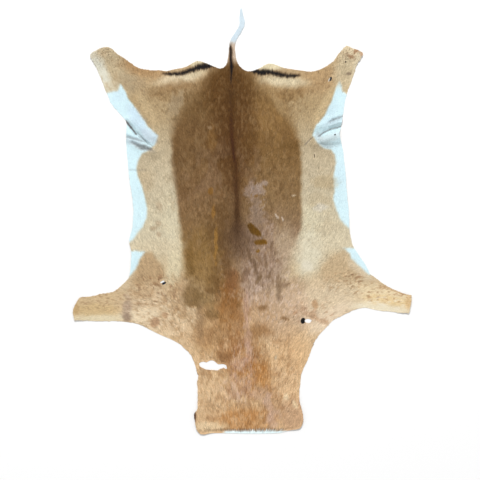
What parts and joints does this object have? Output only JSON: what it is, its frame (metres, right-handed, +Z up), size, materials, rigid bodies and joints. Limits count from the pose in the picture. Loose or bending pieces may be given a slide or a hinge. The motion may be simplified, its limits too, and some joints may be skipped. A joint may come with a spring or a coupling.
{
  "type": "impala hide",
  "caption": "Flat hair-on antelope skin with cut legs, a straight neck edge and its tail, laid on a floor as a rug.",
  "frame": {"origin": "middle of the hide's box in plan, on the plane that the flesh side rests on", "axes": "+X from the left legs to the right legs as seen from the hair side, +Y from the neck's cut edge to the tail, +Z up out of the hair"},
  "size_m": [1.015, 1.2786, 0.0159],
  "materials": {
    "hair_on_skin": "tanned skin with short lying hair, tan with a dark brown saddle, white belly edges and black rump stripes; pale suede flesh side"
  },
  "bodies": {
    "root": {"hide": "hair_on_skin"}
  },
  "joints": []
}
